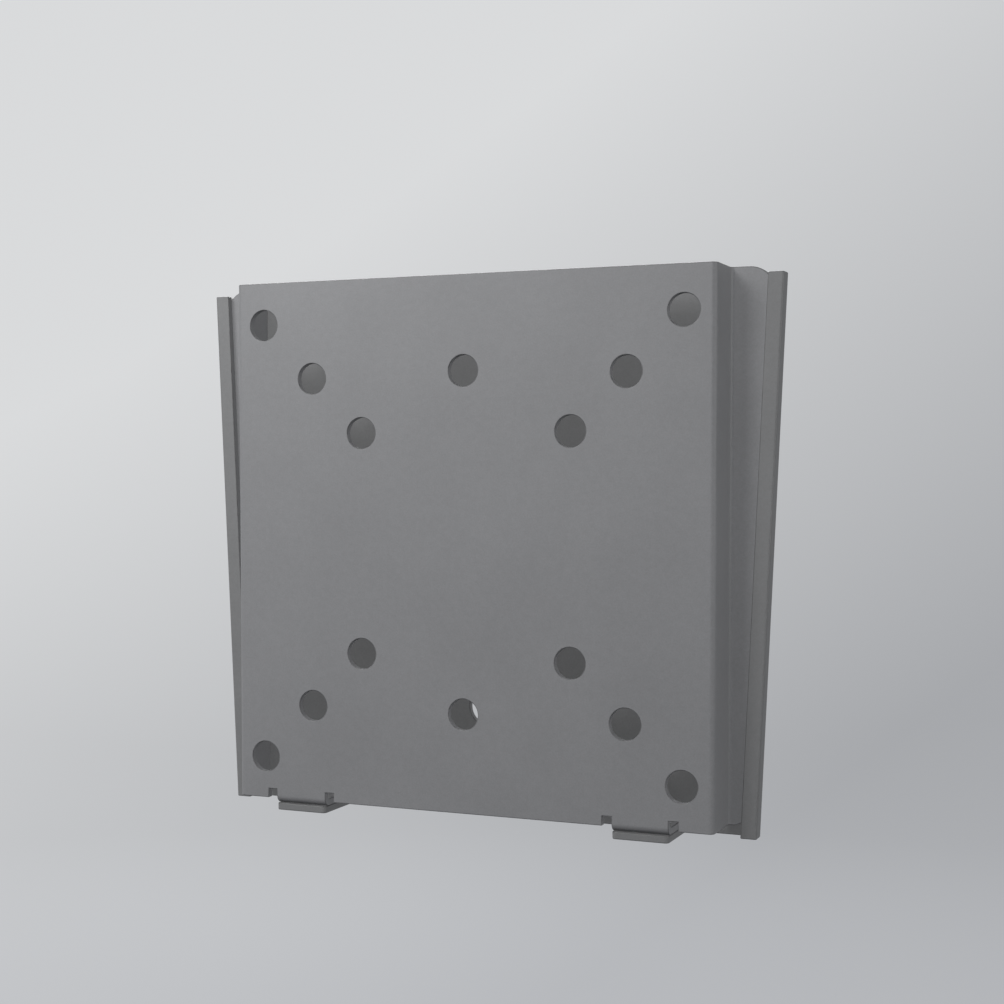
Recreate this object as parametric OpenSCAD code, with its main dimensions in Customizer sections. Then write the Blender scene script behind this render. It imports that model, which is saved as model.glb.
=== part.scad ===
// Two-piece fixed tv wall mount, folded from steel sheet.
// The monitor plate is the front part, with square hole patterns and two tapered flanges.
// The flanges drop into the tapered channels of the wall plate, and two bent tabs come to
// rest on the wall plate's shelves. The monitor plate comes free by lifting it.
// Origin: on the wall, behind the centre of the hole patterns. +Z is up, and the front
// face looks along -Y.

/* [Sheet] */
// Thickness of the steel sheet of both plates
sheet_t = 1.6; // [1.2:0.1:2.5]
// Inside radius of the side, flange, tab and shelf bends
bend_in_r = 0.8; // [0.5:0.1:1.2]
// Inside radius of the two tight bends of each channel
channel_in_r = 0.4; // [0.2:0.1:0.7]
// Outside radius of the tight edges at both sides of the front face
fold_edge_r = 1.2; // [0.4:0.1:1.6]
// Outside radius of the bend between the front face and each tab
tab_edge_r = 1.8; // [0.4:0.1:1.8]
// Outside radius of the tight front edge of each channel
lip_edge_r = 0.5; // [0.2:0.1:1.2]
// Distance from the wall to the front face
mount_depth = 15; // [14:0.5:22]

/* [Monitor plate] */
// Width across the outside of the two side walls
face_w = 114; // [112:1:130]
// Height of the front face
face_h = 119.3; // [112:0.1:140]
// How far each flange stands out from its side wall, at the middle of its height
flange_reach = 7.1; // [6.3:0.1:10]
// Corner radius at the upper end of each flange
flange_top_r = 5.5; // [2:0.5:6]
// Corner radius at the lower end of each flange
flange_low_r = 4; // [1.5:0.5:4.5]

/* [Face holes] */
// Side of the large square hole pattern
pattern_large = 100; // [100:1:102]
// Side of the middle square hole pattern
pattern_middle = 75; // [70:1:80]
// Side of the small square hole pattern
pattern_small = 50; // [40:1:55]
// Diameter of the face's holes
face_hole_d = 7; // [4.5:0.5:8]
// Height of the upper hole on the centre line
centre_hole_up = 38.5; // [30:0.5:45]
// Depth of the lower hole on the centre line, and of the wall hole behind it
centre_hole_down = 37.5; // [30:0.5:45]

/* [Wall plate] */
// How far the wall plate's top edge lies below the top of the front face
wall_top_drop = 1.5; // [0:0.05:6]
// How far the wall plate's lower edge lies below the bottom of the front face
wall_low_drop = 2.4; // [1:0.05:2.6]
// Lean of each channel from the vertical, in degrees, so that they close downwards
channel_lean = 2.44; // [1:0.01:3.5]
// Width of the lip that holds the flange, over the outer bend
lip_w = 3.5; // [3.1:0.05:4.2]
// Diameter of the holes for the wall screws
wall_hole_d = 8; // [5:0.5:9]
// Distance between the two upper wall holes
wall_hole_spacing = 50; // [40:1:70]
// Height of the two upper wall holes
wall_hole_up = 37.5; // [30:0.5:45]

/* [Tabs and shelves] */
// Distance between the middles of the two tabs
tab_spacing = 81.7; // [70:0.1:84]
// Width of each tab and of the shelf under it
tab_w = 12.7; // [9:0.1:14]
// How far the underside of a tab lies below the bottom of the front face
tab_drop = 1.08; // [0.4:0.02:1.6]
// Width of the relief notches on both sides of a tab and of a shelf
relief_w = 2.1; // [1.5:0.1:3]
// How far those notches reach up past the bend
relief_rise = 0.8; // [0:0.1:2]
// Corner radius at the free ends of the tabs and shelves
tab_corner_r = 1; // [0.5:0.1:2]
// Diameter of the locking screw's hole through each tab and its shelf
lock_hole_d = 5.5; // [4:0.5:6]

/* [Clearances] */
// Gap on each face of a flange inside its channel
flange_gap = 0.15; // [0.1:0.05:0.4]
// Gap between a flange's edge and the channel's side wall
edge_gap = 0.55; // [0.2:0.05:0.8]
// Gap between the rear end of a tab and the wall plate's bend
tab_gap = 0.8; // [0.5:0.1:2]

/* [Hidden] */
$fn = 64;

// Cuts run past the sheet by this much on both sides
over = 1;

// Bends
bend_out_r = bend_in_r + sheet_t;
channel_out_r = channel_in_r + sheet_t;

// Depths, all behind the front and in front of the wall at y = 0
face_y = -mount_depth;
face_back_y = face_y + sheet_t;
web_y = -sheet_t;
flange_back_y = web_y - flange_gap;
flange_y = flange_back_y - sheet_t;
lip_back_y = flange_y - flange_gap;
lip_y = lip_back_y - sheet_t;

// Heights
face_top = face_h / 2;
face_low = -face_h / 2;
wall_top = face_top - wall_top_drop;
wall_low = face_low - wall_low_drop;
rest_z = face_low - tab_drop;
tab_bend_z = rest_z + bend_out_r;
shelf_low = rest_z - sheet_t;
shelf_bend_z = shelf_low + bend_out_r;

// Half widths at the height of the origin
side_x = face_w / 2;
flange_x = side_x + flange_reach;
channel_x = flange_x + edge_gap + sheet_t;
lean_slope = tan(channel_lean);

// Tabs
tab_x = tab_spacing / 2;
tab_end_y = web_y - bend_in_r - tab_gap;
lock_y = (face_y + bend_out_r + tab_end_y) / 2;

// Half width of an edge that leans with the channels, at height z
function leaning(x, z) = x + lean_slope * z;

// Quarter of a bend round the origin, in the quadrant given by the signs sx and sy
module bend_quarter(sx, sy, in_r) {
    intersection() {
        difference() {
            circle(r = in_r + sheet_t);
            circle(r = in_r);
        }
        scale([sx, sy]) square(in_r + sheet_t);
    }
}

// The same quarter with an outside radius of its own, tighter than a plain bend's
module tight_quarter(sx, sy, in_r, out_r) {
    reach = in_r + sheet_t;
    scale([sx, sy]) difference() {
        square(reach);
        circle(r = in_r);
        translate([reach, reach]) corner_loss(out_r, 90);
    }
}

// What a corner of radius r loses: the corner lies at the origin, its first edge runs
// along -X, and its second edge turns off by the corner's inside angle, downwards
module corner_loss(r, angle) {
    reach = r / tan(angle / 2);
    difference() {
        polygon([
            [-reach, 0],
            [over, over],
            [reach * -cos(angle) + over * sin(angle), -reach * sin(angle) + over * cos(angle)],
            [-reach * cos(angle), -reach * sin(angle)],
            [-reach, -r]
        ]);
        translate([-reach, -r]) circle(r = r);
    }
}

// Outline of the monitor plate from the front: straight over the face, leaning flanges
module flange_outline() {
    top_x = leaning(flange_x, face_top);
    low_x = leaning(flange_x, face_low);
    difference() {
        polygon([[-low_x, face_low], [low_x, face_low], [top_x, face_top], [-top_x, face_top]]);
        for (side = [0, 1]) mirror([side, 0]) {
            translate([top_x, face_top]) corner_loss(flange_top_r, 90 - channel_lean);
            translate([low_x, face_low]) mirror([0, 1]) corner_loss(flange_low_r, 90 + channel_lean);
        }
    }
}

// Section of the monitor plate from above: face, side walls and flanges as one sheet
module plate_section() {
    flat_x = side_x - bend_out_r;
    flange_bend_x = side_x + bend_in_r;
    flange_bend_y = flange_y - bend_in_r;
    widest = leaning(flange_x, face_top) + over;
    translate([-flat_x, face_y]) square([2 * flat_x, sheet_t]);
    for (side = [0, 1]) mirror([side, 0]) {
        translate([flat_x, face_y + bend_out_r])
            tight_quarter(1, -1, bend_in_r, fold_edge_r);
        translate([side_x - sheet_t, face_y + bend_out_r])
            square([sheet_t, flange_bend_y - face_y - bend_out_r]);
        translate([flange_bend_x, flange_bend_y]) bend_quarter(-1, 1, bend_in_r);
        translate([flange_bend_x, flange_y]) square([widest - flange_bend_x, sheet_t]);
    }
}

// A sheet strip of width tab_w, level at its free end, with two rounded corners.
// It runs from y_start to y_end, and z_low is its underside
module level_strip(y_start, y_end, z_low) {
    toward = sign(y_end - y_start);
    translate([0, 0, z_low]) linear_extrude(sheet_t) difference() {
        translate([-tab_w / 2, min(y_start, y_end)]) square([tab_w, abs(y_end - y_start)]);
        for (side = [0, 1]) mirror([side, 0]) translate([tab_w / 2, y_end]) scale([1, toward])
            corner_loss(tab_corner_r, 90);
        translate([0, lock_y]) circle(d = lock_hole_d);
    }
}

// Repeats its children at both tabs
module at_tabs() {
    for (side = [-1, 1]) translate([side * tab_x, 0, 0]) children();
}

// The two relief notches in a sheet's lower edge, and the edge itself between them: the
// notches end relief_rise above the bend, which starts at height z
module tab_clearing(y, z, low) {
    depth = sheet_t + 2 * over;
    translate([-tab_w / 2, y - over, low - over]) cube([tab_w, depth, z - low + over]);
    for (side = [-1, 1]) translate([side * (tab_w + relief_w) / 2, y - over, low - over])
        translate([-relief_w / 2, 0, 0]) cube([relief_w, depth, z + relief_rise - low + over]);
}

// The monitor plate's tab: the bend under the face, and the level part behind it
module tab() {
    translate([-tab_w / 2, face_y + bend_out_r, tab_bend_z]) rotate([90, 0, 90])
        linear_extrude(tab_w) tight_quarter(-1, -1, bend_in_r, tab_edge_r);
    level_strip(face_y + bend_out_r, tab_end_y, rest_z);
}

// The wall plate's shelf: the bend at the foot of the web, and the level part before it
module shelf() {
    translate([-tab_w / 2, -bend_out_r, shelf_bend_z]) rotate([90, 0, 90])
        linear_extrude(tab_w) bend_quarter(1, -1, bend_in_r);
    level_strip(-bend_out_r, face_y, shelf_low);
}

// Drill for a round hole through a sheet whose front is at y
module sheet_drill(x, z, y, d) {
    translate([x, y - over, z]) rotate([-90, 0, 0]) cylinder(d = d, h = sheet_t + 2 * over);
}

// Drills for the three square patterns and the two holes on the centre line
module face_holes() {
    for (side = [pattern_large, pattern_middle, pattern_small])
        for (sx = [-1, 1]) for (sz = [-1, 1])
            sheet_drill(sx * side / 2, sz * side / 2, face_y, face_hole_d);
    sheet_drill(0, centre_hole_up, face_y, face_hole_d);
    sheet_drill(0, -centre_hole_down, face_y, face_hole_d);
}

// Drills for the wall screws: one low, on the centre line, and two high
module wall_holes() {
    sheet_drill(0, -centre_hole_down, web_y, wall_hole_d);
    for (side = [-1, 1])
        sheet_drill(side * wall_hole_spacing / 2, wall_hole_up, web_y, wall_hole_d);
}

// Section of one channel from above, with its outer face at x = 0: a strip of the web,
// the side wall between two tight bends, and the lip
module channel_section() {
    flat_x = -channel_out_r;
    rear_bend_y = web_y - channel_in_r;
    front_bend_y = lip_back_y + channel_in_r;
    translate([flat_x - channel_out_r, web_y]) square([channel_out_r, sheet_t]);
    translate([flat_x, rear_bend_y]) bend_quarter(1, 1, channel_in_r);
    translate([-sheet_t, front_bend_y]) square([sheet_t, rear_bend_y - front_bend_y]);
    translate([flat_x, front_bend_y]) tight_quarter(1, -1, channel_in_r, lip_edge_r);
    translate([-lip_w, lip_y]) square([lip_w - channel_out_r, sheet_t]);
}

// The right-hand channel, leaning outwards and cut level at both ends
module channel() {
    height = wall_top - wall_low;
    intersection() {
        translate([channel_x, 0, 0]) rotate([0, channel_lean, 0])
            translate([0, 0, wall_low - height / 2]) linear_extrude(2 * height) channel_section();
        translate([0, lip_y - over, wall_low])
            cube([2 * channel_x, sheet_t - lip_y + 2 * over, height]);
    }
}

// The flat web, which ends halfway along the channels' own strips of it
module web() {
    web_x = channel_x - 1.5 * channel_out_r / cos(channel_lean);
    top_x = leaning(web_x, wall_top);
    low_x = leaning(web_x, wall_low);
    rotate([90, 0, 0]) linear_extrude(sheet_t)
        polygon([[-low_x, wall_low], [low_x, wall_low], [top_x, wall_top], [-top_x, wall_top]]);
}

module monitor_plate() {
    color([0.46, 0.47, 0.49]) union() {
        difference() {
            intersection() {
                translate([0, 0, face_low]) linear_extrude(face_h) plate_section();
                rotate([90, 0, 0]) linear_extrude(mount_depth) flange_outline();
            }
            at_tabs() tab_clearing(face_y, tab_bend_z, face_low);
            face_holes();
        }
        at_tabs() tab();
    }
}

module wall_plate() {
    color([0.42, 0.43, 0.45]) union() {
        difference() {
            union() {
                web();
                for (side = [0, 1]) mirror([side, 0, 0]) channel();
            }
            at_tabs() tab_clearing(web_y, shelf_bend_z, wall_low);
            wall_holes();
        }
        at_tabs() shelf();
    }
}

monitor_plate();
wall_plate();
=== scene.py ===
"""Powder-coated sheets of a two-piece fixed tv wall mount, shown in a small studio."""

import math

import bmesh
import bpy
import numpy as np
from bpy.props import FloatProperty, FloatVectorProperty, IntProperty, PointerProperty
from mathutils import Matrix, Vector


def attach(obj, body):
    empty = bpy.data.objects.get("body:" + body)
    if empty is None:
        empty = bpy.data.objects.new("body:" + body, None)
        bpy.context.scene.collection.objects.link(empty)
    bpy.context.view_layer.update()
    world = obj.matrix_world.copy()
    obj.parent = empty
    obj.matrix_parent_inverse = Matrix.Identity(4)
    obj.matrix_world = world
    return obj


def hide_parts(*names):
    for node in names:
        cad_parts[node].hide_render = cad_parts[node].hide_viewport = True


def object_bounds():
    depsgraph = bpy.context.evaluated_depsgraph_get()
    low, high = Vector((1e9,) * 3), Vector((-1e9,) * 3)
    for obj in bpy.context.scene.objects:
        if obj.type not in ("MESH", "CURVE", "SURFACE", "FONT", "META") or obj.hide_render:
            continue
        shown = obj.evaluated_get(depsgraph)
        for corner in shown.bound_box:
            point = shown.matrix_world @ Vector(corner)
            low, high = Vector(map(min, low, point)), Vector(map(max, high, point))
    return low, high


bl_info = {
    "name": "Two-Piece TV Wall Mount",
    "version": (1, 0, 0),
    "blender": (4, 5, 0),
    "location": "3D Viewport > Sidebar > Wall Mount",
    "description": "Coats the two folded sheets of a fixed tv wall mount and sets up a studio",
    "category": "Object",
}

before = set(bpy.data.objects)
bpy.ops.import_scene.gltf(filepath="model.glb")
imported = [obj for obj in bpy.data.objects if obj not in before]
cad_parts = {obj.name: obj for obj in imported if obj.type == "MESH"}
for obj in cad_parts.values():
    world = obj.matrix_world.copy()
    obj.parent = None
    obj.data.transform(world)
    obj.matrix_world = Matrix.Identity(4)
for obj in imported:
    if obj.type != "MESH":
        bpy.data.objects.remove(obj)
CAD_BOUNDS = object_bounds()

# Width of the camera's sensor in millimetres
SENSOR = 36.0
# Nearest distance that the camera sees, in metres
NEAREST = 0.01
# The photograph's focal length and optical axis, in pixels
PHOTO_FOCAL = 698.6
PHOTO_AXIS = (448.8, 500.0)
# Middle and side of the square that the render shows, in the photograph's pixels
SHOWN_MIDDLE = (472.5, 482.0)
SHOWN_SIDE = 400.0

# Corners of the frame's triangles closer than this are one corner, in metres
WELD = 2e-6
# Edges that turn by more than this are cut edges of the sheet, not bends
CUT_EDGE = math.radians(50)
# Neighbouring facets of a bend or a bore turn by less than this
BEND_STEP = math.radians(30)
# A sheet's material slots, for its sides and its rounded cut edges
SIDE_SLOT = 0
EDGE_SLOT = 1

# Detail and roughness of the noises behind the coat's clouds, peel, grains and the patches of
# painted shade on cut edges
CLOUD_NOISE = (3, 0.5)
PEEL_NOISE = (1, 0.5)
GRAIN_NOISE = (3, 0.7)
EDGE_SHADE_NOISE = (4, 0.65)
# Range in which nearly all of a noise lies
NOISE_RANGE = (0.3, 0.7)
# What the coat's tone is multiplied by at the ends of that range
CLOUD_TONE = (0.965, 1.035)
PEEL_TONE = (0.98, 1.02)
GRAIN_TONE = (0.93, 1.07)
# Size of the patches of painted shade on cut edges, in peel sizes, and how far they take the edge's
# darker tone
EDGE_SHADE_PATCH = 3
EDGE_SHADE_SHARE = (0.5, 1.0)
# Roughness between the grains and on them
SIDE_ROUGHNESS = (0.47, 0.6)
EDGE_ROUGHNESS = (0.4, 0.5)

# A colour Mix node's two colours and its result, by number because their names repeat
MIX_FIRST = 6
MIX_SECOND = 7
MIX_RESULT = 2

# Direction in which the backdrop's painted shade deepens, and where along it that starts and ends
FADE_ALONG = (0.75, 0.0, -1.0)
FADE_RANGE = (-0.9, 0.15)
# Share of the lamps' light that the backdrop paper sends back
MATT_SHARE = 0.3
# Facets of the backdrop's curved rise, and of one turn round its rim
RISE_STEPS = 32
RIM_STEPS = 128

# Each soft lamp's place and side, in metres, and whether it casts shadows
LAMPS = {
    "key": ((-0.34, -0.77, 0.5), 0.35, True),
    "open": ((-0.26, -0.38, 0.26), 0.2, False),
    "side": ((0.9, -0.12, 0.2), 0.4, False),
    "rear": ((-0.4, 0.9, 0.5), 0.5, True),
}
SKY_COLOUR = (1, 1, 1, 1)


class CoatSettings(bpy.types.PropertyGroup):
    """Sizes and colours of the powder coat on both sheets"""

    plate_colour: FloatVectorProperty(
        name="Monitor plate",
        description="Colour of the monitor plate's coat",
        subtype="COLOR",
        min=0,
        max=1,
        default=(0.212, 0.214, 0.222),
    )
    wall_colour: FloatVectorProperty(
        name="Wall plate",
        description="Colour of the wall plate's coat",
        subtype="COLOR",
        min=0,
        max=1,
        default=(0.17, 0.172, 0.175),
    )
    edge_radius: FloatProperty(
        name="Edge radius",
        description="Radius that the coat leaves on the sheet's cut edges",
        subtype="DISTANCE",
        unit="LENGTH",
        min=0.0001,
        max=0.0006,
        default=0.0002,
    )
    edge_steps: IntProperty(
        name="Edge steps",
        description="Facets across a rounded cut edge",
        min=1,
        max=6,
        default=3,
    )
    # Painted shade: the cut edges' coat is darkened to this share of the sheet's colour, so that
    # they read as dark outlines
    painted_edge_shade: FloatProperty(
        name="Edge tone",
        description="Tone of the coat where it thins out over a cut edge, against the sheet's",
        subtype="FACTOR",
        min=0.3,
        max=1.5,
        default=0.5,
    )
    cloud_size: FloatProperty(
        name="Cloud size",
        description="Size of the soft patches in which the coat's tone varies",
        subtype="DISTANCE",
        unit="LENGTH",
        min=0.005,
        max=0.1,
        default=0.022,
    )
    peel_size: FloatProperty(
        name="Peel size",
        description="Size of the soft bumps that the melted powder leaves",
        subtype="DISTANCE",
        unit="LENGTH",
        min=0.0005,
        max=0.003,
        default=0.0012,
    )
    peel_depth: FloatProperty(
        name="Peel depth",
        description="Height of the soft bumps",
        subtype="DISTANCE",
        unit="LENGTH",
        min=0,
        max=0.0001,
        default=0.00002,
    )
    grain_size: FloatProperty(
        name="Grain size",
        description="Size of the powder's single grains",
        subtype="DISTANCE",
        unit="LENGTH",
        min=0.0001,
        max=0.001,
        default=0.00035,
    )
    grain_depth: FloatProperty(
        name="Grain depth",
        description="Height of the single grains",
        subtype="DISTANCE",
        unit="LENGTH",
        min=0,
        max=0.0001,
        default=0.000012,
    )


class StudioSettings(bpy.types.PropertyGroup):
    """Camera, lamps and backdrop"""

    camera_place: FloatVectorProperty(
        name="Camera place",
        description="Where the camera stands, in the mount's own frame",
        subtype="TRANSLATION",
        unit="LENGTH",
        default=(0.1521, -0.3703, 0.0173),
    )
    camera_turn: FloatProperty(
        name="Camera turn",
        description="How far the camera looks to the left of straight at the wall",
        subtype="ANGLE",
        unit="ROTATION",
        default=math.radians(23.84),
    )
    camera_dip: FloatProperty(
        name="Camera dip",
        description="How far the camera looks down from the horizontal",
        subtype="ANGLE",
        unit="ROTATION",
        default=math.radians(2.61),
    )
    camera_roll: FloatProperty(
        name="Camera roll",
        description="How far the camera's right side hangs lower than its left",
        subtype="ANGLE",
        unit="ROTATION",
        default=math.radians(0.068),
    )
    floor_drop: FloatProperty(
        name="Floor drop",
        description="Depth of the floor below the mount's lowest edge",
        subtype="DISTANCE",
        unit="LENGTH",
        default=0.25,
    )
    floor_radius: FloatProperty(
        name="Floor radius",
        description="Radius of the round floor, up to its curved rise",
        subtype="DISTANCE",
        unit="LENGTH",
        default=1.2,
    )
    rise_radius: FloatProperty(
        name="Rise radius",
        description="Radius of the curve that carries the floor up to its rim",
        subtype="DISTANCE",
        unit="LENGTH",
        default=0.5,
    )
    rim_height: FloatProperty(
        name="Rim height",
        description="Height of the rim above the floor",
        subtype="DISTANCE",
        unit="LENGTH",
        default=0.9,
    )
    # Painted light on the floor and backdrop: a colour that fades from the pale upper left to the
    # shaded lower right
    backdrop_lit: FloatVectorProperty(
        name="Backdrop, pale side",
        description="Colour of the floor and the backdrop at the upper left",
        subtype="COLOR",
        min=0,
        max=1,
        default=(0.775, 0.785, 0.795),
    )
    backdrop_shaded: FloatVectorProperty(
        name="Backdrop, deep side",
        description="Colour of the floor and the backdrop at the lower right",
        subtype="COLOR",
        min=0,
        max=1,
        default=(0.425, 0.435, 0.455),
    )
    backdrop_glow: FloatProperty(
        name="Backdrop glow",
        description="Share of the backdrop's brightness that sends no light to the mount",
        subtype="FACTOR",
        min=0,
        max=1,
        default=0.83,
    )
    key_power: FloatProperty(
        name="Key lamp",
        description="Power of the lamp in front on the left that casts shadows, in watts",
        unit="POWER",
        min=0,
        default=3.4,
    )
    open_power: FloatProperty(
        name="Open lamp",
        description="Power of the near lamp on the left that casts no shadow, in watts",
        unit="POWER",
        min=0,
        default=1.55,
    )
    side_power: FloatProperty(
        name="Side lamp",
        description="Power of the lamp on the right that casts no shadow, in watts",
        unit="POWER",
        min=0,
        default=3.2,
    )
    rear_power: FloatProperty(
        name="Rear lamp",
        description="Power of the lamp behind the wall plate, in watts",
        unit="POWER",
        min=0,
        default=7.0,
    )
    sky_level: FloatProperty(
        name="Sky level",
        description="Strength of the even light from all round",
        min=0,
        default=0.2,
    )


def add_node(tree, kind, inputs=None, **settings):
    """Adds a shader node; an input that is given a socket is linked, any other is set."""
    node = tree.nodes.new(kind)
    for setting, value in settings.items():
        setattr(node, setting, value)
    for socket, value in (inputs or {}).items():
        if isinstance(value, bpy.types.NodeSocket):
            tree.links.new(value, node.inputs[socket])
        else:
            node.inputs[socket].default_value = value
    return node


def blank_material(name):
    """A material with an empty node tree, and that tree."""
    material = bpy.data.materials.new(name)
    material.use_nodes = True
    material.node_tree.nodes.clear()
    return material, material.node_tree


def opaque(colour):
    """The colour with a full alpha."""
    return [*colour, 1]


def noise(tree, place, size, detail, roughness):
    """Fractal noise whose largest lumps measure about size metres."""
    inputs = {"Vector": place, "Scale": 1 / size, "Detail": detail, "Roughness": roughness}
    return add_node(tree, "ShaderNodeTexNoise", inputs).outputs["Fac"]


def spread(tree, value, low, high):
    """Carries a noise value's usual range over to low to high."""
    inputs = {
        "Value": value,
        "From Min": NOISE_RANGE[0],
        "From Max": NOISE_RANGE[1],
        "To Min": low,
        "To Max": high,
    }
    return add_node(tree, "ShaderNodeMapRange", inputs).outputs["Result"]


def combined(tree, first, second, operation="MULTIPLY"):
    """Product of two values, or what another operation makes of them."""
    return add_node(tree, "ShaderNodeMath", {0: first, 1: second}, operation=operation).outputs[0]


def mixed(tree, factor, first, second, blend_type="MIX"):
    """Mix of two colours, by factor."""
    inputs = {"Factor": factor, MIX_FIRST: first, MIX_SECOND: second}
    mix = add_node(tree, "ShaderNodeMix", inputs, data_type="RGBA", blend_type=blend_type)
    return mix.outputs[MIX_RESULT]


def bumped(tree, height, distance, normal=None):
    """Normal of a surface raised by height times distance, over another normal if one is given."""
    inputs = {"Height": height, "Distance": distance, "Strength": 1.0}
    if normal is not None:
        inputs["Normal"] = normal
    return add_node(tree, "ShaderNodeBump", inputs).outputs["Normal"]


def powder_coat(name, colour, coat, edge=False):
    """Matt powder coat: cloudy tone, soft peel bumps and fine grains, with painted shade in patches
    on a cut edge.
    """
    material, tree = blank_material(name)
    place = add_node(tree, "ShaderNodeTexCoord").outputs["Object"]
    cloud = noise(tree, place, coat.cloud_size, *CLOUD_NOISE)
    peel = noise(tree, place, coat.peel_size, *PEEL_NOISE)
    grain = noise(tree, place, coat.grain_size, *GRAIN_NOISE)

    tone = combined(tree, spread(tree, cloud, *CLOUD_TONE), spread(tree, grain, *GRAIN_TONE))
    tone = combined(tree, tone, spread(tree, peel, *PEEL_TONE))
    paint = opaque(colour)
    if edge:
        # Painted shade: the cut edge's colour is darkened in patches towards a darker copy of the
        # sheet's colour
        patches = noise(tree, place, coat.peel_size * EDGE_SHADE_PATCH, *EDGE_SHADE_NOISE)
        shaded_edge_paint = opaque(channel * coat.painted_edge_shade for channel in colour)
        paint = mixed(tree, spread(tree, patches, *EDGE_SHADE_SHARE), paint, shaded_edge_paint)

    roughness = EDGE_ROUGHNESS if edge else SIDE_ROUGHNESS
    peel_normal = bumped(tree, peel, coat.peel_depth)
    surface = {
        "Base Color": mixed(tree, 1.0, paint, tone, "MULTIPLY"),
        "Roughness": spread(tree, grain, *roughness),
        "Normal": bumped(tree, grain, coat.grain_depth, peel_normal),
    }
    shader = add_node(tree, "ShaderNodeBsdfPrincipled", surface).outputs["BSDF"]
    add_node(tree, "ShaderNodeOutputMaterial", {"Surface": shader})
    return material


def shade_sheet(mesh):
    """Gives every corner the mean normal of the facets that run on smoothly round its vertex.

    The mean is weighted by area, over the facets outside the rounded edges that turn by
    less than BEND_STEP from this corner's own side. A corner of a rounded edge takes the
    side that it touches, and one that touches none takes the mean of the edge's facets.
    """
    facets = len(mesh.polygons)
    corners = len(mesh.loops)
    sizes = np.empty(facets, np.int32)
    slot = np.empty(facets, np.int32)
    area = np.empty(facets)
    facing = np.empty(facets * 3)
    vertex = np.empty(corners, np.int32)
    mesh.polygons.foreach_get("loop_total", sizes)
    mesh.polygons.foreach_get("material_index", slot)
    mesh.polygons.foreach_get("area", area)
    mesh.polygons.foreach_get("normal", facing)
    mesh.loops.foreach_get("vertex_index", vertex)
    facing = facing.reshape(-1, 3)
    facet = np.repeat(np.arange(facets), sizes)

    # Pairs of each corner with each facet round its vertex
    order = np.argsort(vertex, kind="stable")
    first = np.searchsorted(vertex[order], vertex)
    count = np.bincount(vertex)[vertex]
    own = np.repeat(np.arange(corners), count)
    step = np.arange(len(own)) - np.repeat(np.cumsum(count) - count, count)
    other = facet[order[first[own] + step]]
    on_side = slot[other] == SIDE_SLOT
    match = (facing[facet[own]] * facing[other]).sum(1)

    # Each corner's own side: the facet outside the rounded edges that turns least from it
    best = np.full(corners, -1.0)
    np.maximum.at(best, own, np.where(on_side, match, -1.0))
    nearest = facing[facet].copy()
    taken = on_side & (match == best[own])
    nearest[own[taken]] = facing[other[taken]]
    touches = np.zeros(corners, bool)
    touches[own[on_side]] = True

    smooth = (nearest[own] * facing[other]).sum(1) > math.cos(BEND_STEP)
    along_side = on_side & smooth & touches[own]
    along_edge = ~touches[own] & (match > math.cos(CUT_EDGE))
    weight = area[other] * (along_side | along_edge)
    normals = np.zeros((corners, 3))
    np.add.at(normals, own, facing[other] * weight[:, None])
    normals /= np.linalg.norm(normals, axis=1, keepdims=True)
    mesh.shade_smooth()
    mesh.normals_split_custom_set(normals)


def coated_sheet(node, colour, coat):
    """Makes the shown sheet: the CAD node's closed surface with rounded cut edges."""
    shape = bmesh.new()
    shape.from_mesh(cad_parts[node].data)
    bmesh.ops.remove_doubles(shape, verts=shape.verts, dist=WELD)
    name = node + "_coated"
    mesh = bpy.data.meshes.new(name)
    shape.to_mesh(mesh)
    shape.free()
    mesh.materials.clear()
    mesh.materials.append(powder_coat(node + "_coat", colour, coat))
    mesh.materials.append(powder_coat(node + "_edge_coat", colour, coat, edge=True))
    slots = np.full(len(mesh.polygons), SIDE_SLOT, np.int32)
    mesh.polygons.foreach_set("material_index", slots)

    sheet = bpy.data.objects.new(name, mesh)
    bpy.context.scene.collection.objects.link(sheet)
    rounding = sheet.modifiers.new("Cut edges", "BEVEL")
    rounding.width = coat.edge_radius
    rounding.segments = coat.edge_steps
    rounding.limit_method = "ANGLE"
    rounding.angle_limit = CUT_EDGE
    rounding.use_clamp_overlap = False
    rounding.loop_slide = False
    rounding.material = EDGE_SLOT
    rounded = sheet.evaluated_get(bpy.context.evaluated_depsgraph_get())
    sheet.data = bpy.data.meshes.new_from_object(rounded)
    sheet.data.name = name
    sheet.modifiers.clear()
    shade_sheet(sheet.data)
    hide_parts(node)
    return sheet


class MOUNT_OT_monitor_plate(bpy.types.Operator):
    """Coats the monitor plate, the front sheet that lifts off"""

    bl_idname = "mount.monitor_plate"
    bl_label = "Monitor Plate"

    def execute(self, context):
        coat = context.scene.mount_coat
        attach(coated_sheet("monitor_plate", coat.plate_colour, coat), "screen")
        return {"FINISHED"}


class MOUNT_OT_wall_plate(bpy.types.Operator):
    """Coats the wall plate, the rear sheet with the two channels"""

    bl_idname = "mount.wall_plate"
    bl_label = "Wall Plate"

    def execute(self, context):
        coat = context.scene.mount_coat
        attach(coated_sheet("wall_plate", coat.wall_colour, coat), "wall")
        return {"FINISHED"}


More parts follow.
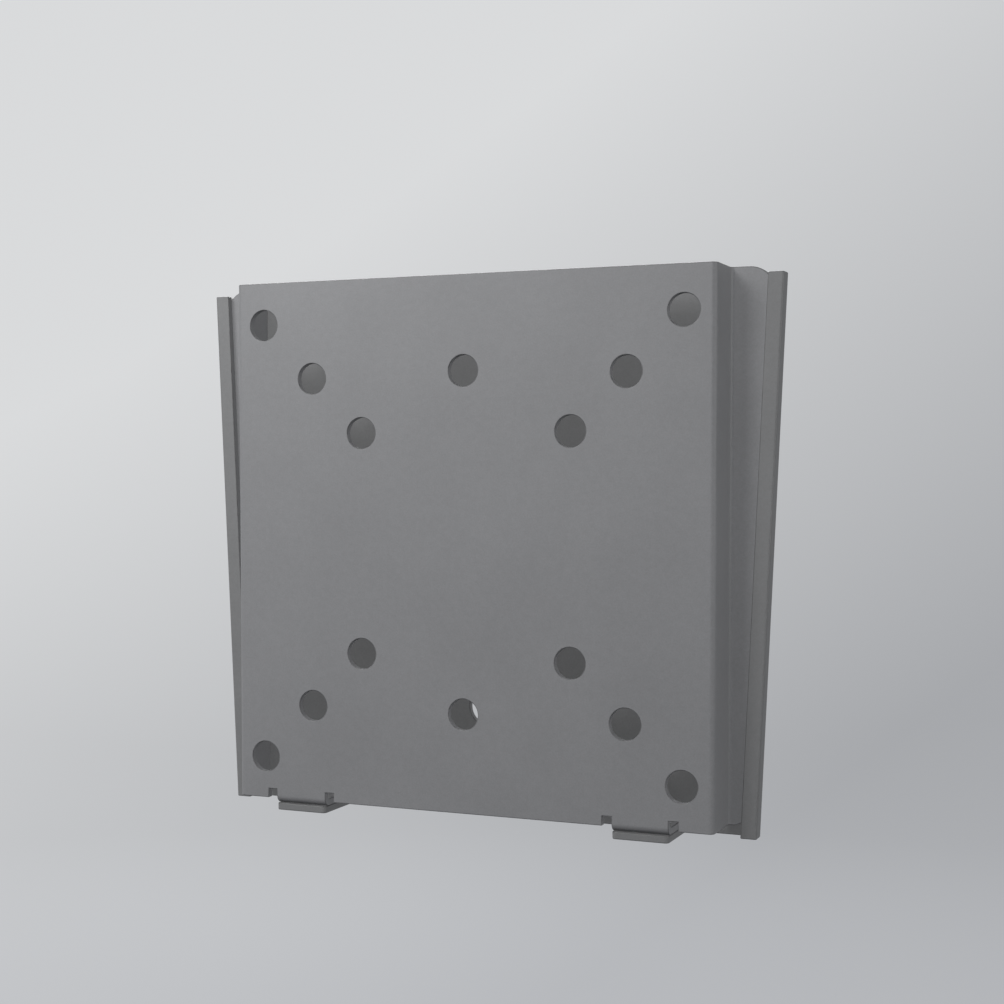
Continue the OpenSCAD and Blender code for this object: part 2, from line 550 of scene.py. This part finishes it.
class MOUNT_OT_camera(bpy.types.Operator):
    """Sets the camera up at the photograph's viewing angle"""

    bl_idname = "mount.camera"
    bl_label = "Camera"

    def execute(self, context):
        studio = context.scene.mount_studio
        lens = bpy.data.cameras.new("camera")
        lens.sensor_width = SENSOR
        lens.lens = SENSOR * PHOTO_FOCAL / SHOWN_SIDE
        lens.shift_x = (SHOWN_MIDDLE[0] - PHOTO_AXIS[0]) / SHOWN_SIDE
        lens.shift_y = (PHOTO_AXIS[1] - SHOWN_MIDDLE[1]) / SHOWN_SIDE
        lens.clip_start = NEAREST
        camera = bpy.data.objects.new("camera", lens)
        camera.location = studio.camera_place
        camera.rotation_euler = (
            math.pi / 2 - studio.camera_dip,
            studio.camera_roll,
            studio.camera_turn,
        )
        context.scene.collection.objects.link(camera)
        context.scene.camera = camera
        return {"FINISHED"}


def dish(name, radii, heights, around):
    """Mesh of a profile carried round Z and closed in the middle.

    Point i, j is (r_i cos t_j, r_i sin t_j, h_i), and the middle lies at the first height.
    """
    turns = np.linspace(0, 2 * np.pi, around, endpoint=False)
    points = np.empty((len(radii), around, 3))
    points[..., 0] = radii[:, None] * np.cos(turns)
    points[..., 1] = radii[:, None] * np.sin(turns)
    points[..., 2] = heights[:, None]
    ring = np.arange((len(radii) - 1) * around).reshape(-1, around)
    beside = np.roll(ring, -1, axis=1)
    quads = np.stack([ring, ring + around, beside + around, beside], axis=-1).reshape(-1, 4)
    middle = np.full(around, len(radii) * around)
    fan = np.stack([middle, ring[0], beside[0]], axis=-1)
    places = points.reshape(-1, 3).tolist() + [[0, 0, heights[0]]]
    mesh = bpy.data.meshes.new(name)
    mesh.from_pydata(places, [], quads.tolist() + fan.tolist())
    mesh.shade_smooth()
    return mesh


def backdrop_paper(pale, deep, glow):
    """Matt studio paper with painted light: pale at the upper left and shaded deeper towards the
    right and below.

    Part of its brightness is a glow that only the camera, reflections and clear pieces
    see, so that it sends no extra light to the mount.
    """
    material, tree = blank_material("backdrop_paper")
    place = add_node(tree, "ShaderNodeTexCoord").outputs["Object"]
    across = {0: place, 1: FADE_ALONG}
    slope = add_node(tree, "ShaderNodeVectorMath", across, operation="DOT_PRODUCT").outputs["Value"]
    fade = {"Value": slope, "From Min": FADE_RANGE[0], "From Max": FADE_RANGE[1]}
    depth = add_node(tree, "ShaderNodeMapRange", fade).outputs["Result"]
    # Painted shade: the paper's colour darkens from the upper left towards the right and below
    paper = mixed(tree, depth, opaque(pale), opaque(deep))

    rays = add_node(tree, "ShaderNodeLightPath").outputs
    seen = combined(tree, rays["Is Camera Ray"], rays["Is Glossy Ray"], "MAXIMUM")
    seen = combined(tree, seen, rays["Is Transmission Ray"], "MAXIMUM")
    shine = {"Color": paper, "Strength": combined(tree, seen, glow)}
    shine = add_node(tree, "ShaderNodeEmission", shine).outputs["Emission"]
    matt = add_node(tree, "ShaderNodeBsdfDiffuse", {"Color": paper}).outputs["BSDF"]
    matt = add_node(tree, "ShaderNodeMixShader", {0: MATT_SHARE, 2: matt}).outputs["Shader"]
    shader = add_node(tree, "ShaderNodeAddShader", {0: matt, 1: shine}).outputs["Shader"]
    add_node(tree, "ShaderNodeOutputMaterial", {"Surface": shader})
    return material


def soft_lamp(name, place, side, shadows, power):
    """Adds a square lamp that stands at place and faces the origin."""
    light = bpy.data.lights.new(name, "AREA")
    light.use_shadow = shadows
    light.shape = "SQUARE"
    light.size = side
    light.energy = power
    lamp = bpy.data.objects.new(name, light)
    lamp.location = place
    lamp.rotation_euler = (
        math.atan2(math.hypot(place[0], place[1]), place[2]),
        0,
        math.atan2(-place[1], -place[0]) - math.pi / 2,
    )
    lamp.visible_camera = False
    bpy.context.scene.collection.objects.link(lamp)


class MOUNT_OT_stage(bpy.types.Operator):
    """Builds the round studio floor with its raised rim, the lamps and the even light"""

    bl_idname = "mount.stage"
    bl_label = "Stage"

    def execute(self, context):
        studio = context.scene.mount_studio
        floor_z = CAD_BOUNDS[0][2] - studio.floor_drop
        bend = np.linspace(0, np.pi / 2, RISE_STEPS + 1)
        rim = studio.floor_radius + studio.rise_radius
        rise_out = studio.floor_radius + studio.rise_radius * np.sin(bend)
        rise_up = studio.rise_radius * (1 - np.cos(bend))
        radii = np.concatenate([[studio.floor_radius / 2], rise_out, [rim]])
        heights = np.concatenate([[0], rise_up, [studio.rim_height]])
        mesh = dish("studio_backdrop", radii, heights + floor_z, RIM_STEPS)
        paper = backdrop_paper(studio.backdrop_lit, studio.backdrop_shaded, studio.backdrop_glow)
        mesh.materials.append(paper)
        backdrop = bpy.data.objects.new("studio_backdrop", mesh)
        context.scene.collection.objects.link(backdrop)

        for name, (place, side, shadows) in LAMPS.items():
            soft_lamp(name + "_lamp", place, side, shadows, getattr(studio, name + "_power"))

        world = bpy.data.worlds.new("even_light")
        world.use_nodes = True
        sky = world.node_tree.nodes["Background"]
        sky.inputs["Color"].default_value = SKY_COLOUR
        sky.inputs["Strength"].default_value = studio.sky_level
        context.scene.world = world
        context.scene.view_settings.view_transform = "Standard"
        return {"FINISHED"}


class MOUNT_PT_sidebar(bpy.types.Panel):
    """Lists the mount's pieces, its coat and the studio"""

    bl_idname = "MOUNT_PT_sidebar"
    bl_label = "Wall Mount"
    bl_space_type = "VIEW_3D"
    bl_region_type = "UI"
    bl_category = "Wall Mount"

    def draw(self, context):
        for settings in (context.scene.mount_coat, context.scene.mount_studio):
            box = self.layout.box()
            for name in settings.__annotations__:
                box.prop(settings, name)
        for operator in OPERATORS:
            self.layout.operator(operator.bl_idname)


OPERATORS = (
    MOUNT_OT_camera,
    MOUNT_OT_monitor_plate,
    MOUNT_OT_wall_plate,
    MOUNT_OT_stage,
)
CLASSES = (CoatSettings, StudioSettings, *OPERATORS, MOUNT_PT_sidebar)


def register():
    for cls in CLASSES:
        bpy.utils.register_class(cls)
    bpy.types.Scene.mount_coat = PointerProperty(type=CoatSettings)
    bpy.types.Scene.mount_studio = PointerProperty(type=StudioSettings)


def unregister():
    del bpy.types.Scene.mount_studio
    del bpy.types.Scene.mount_coat
    for cls in reversed(CLASSES):
        bpy.utils.unregister_class(cls)


def main():
    register()
    bpy.ops.mount.camera()
    bpy.ops.mount.monitor_plate()
    bpy.ops.mount.wall_plate()
    bpy.ops.mount.stage()


if __name__ == "__main__":
    main()
